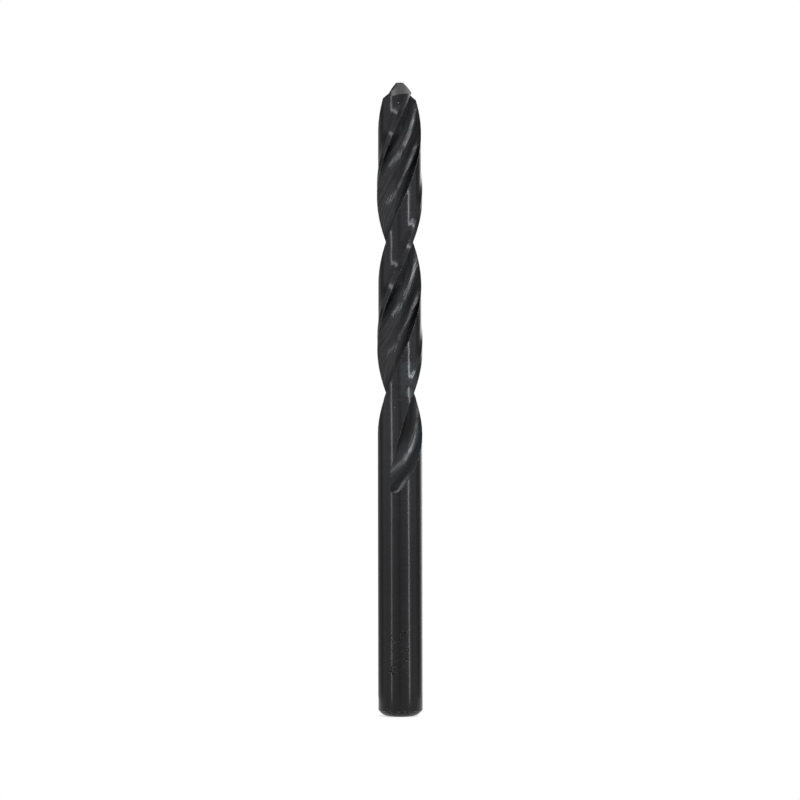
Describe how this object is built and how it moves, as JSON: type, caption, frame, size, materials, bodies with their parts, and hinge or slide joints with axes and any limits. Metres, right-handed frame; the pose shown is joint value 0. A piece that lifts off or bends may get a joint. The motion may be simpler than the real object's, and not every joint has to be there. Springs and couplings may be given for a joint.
{
  "type": "twist drill bit",
  "caption": "Right-hand jobber twist drill with a plain round shank, helical flutes, narrow margins and a ground point, for drilling round holes.",
  "frame": {"origin": "centre of the flat shank end, on the drill's axis", "axes": "+Z along the drill's axis from the shank end to the point; the leading edge of the first land is a right-hand helix that passes over +X at 72.4 mm"},
  "size_m": [0.009, 0.009, 0.125],
  "materials": {
    "oxide_steel": "satin black oxide"
  },
  "bodies": {
    "root": {"drill_bit": "oxide_steel"}
  },
  "joints": []
}
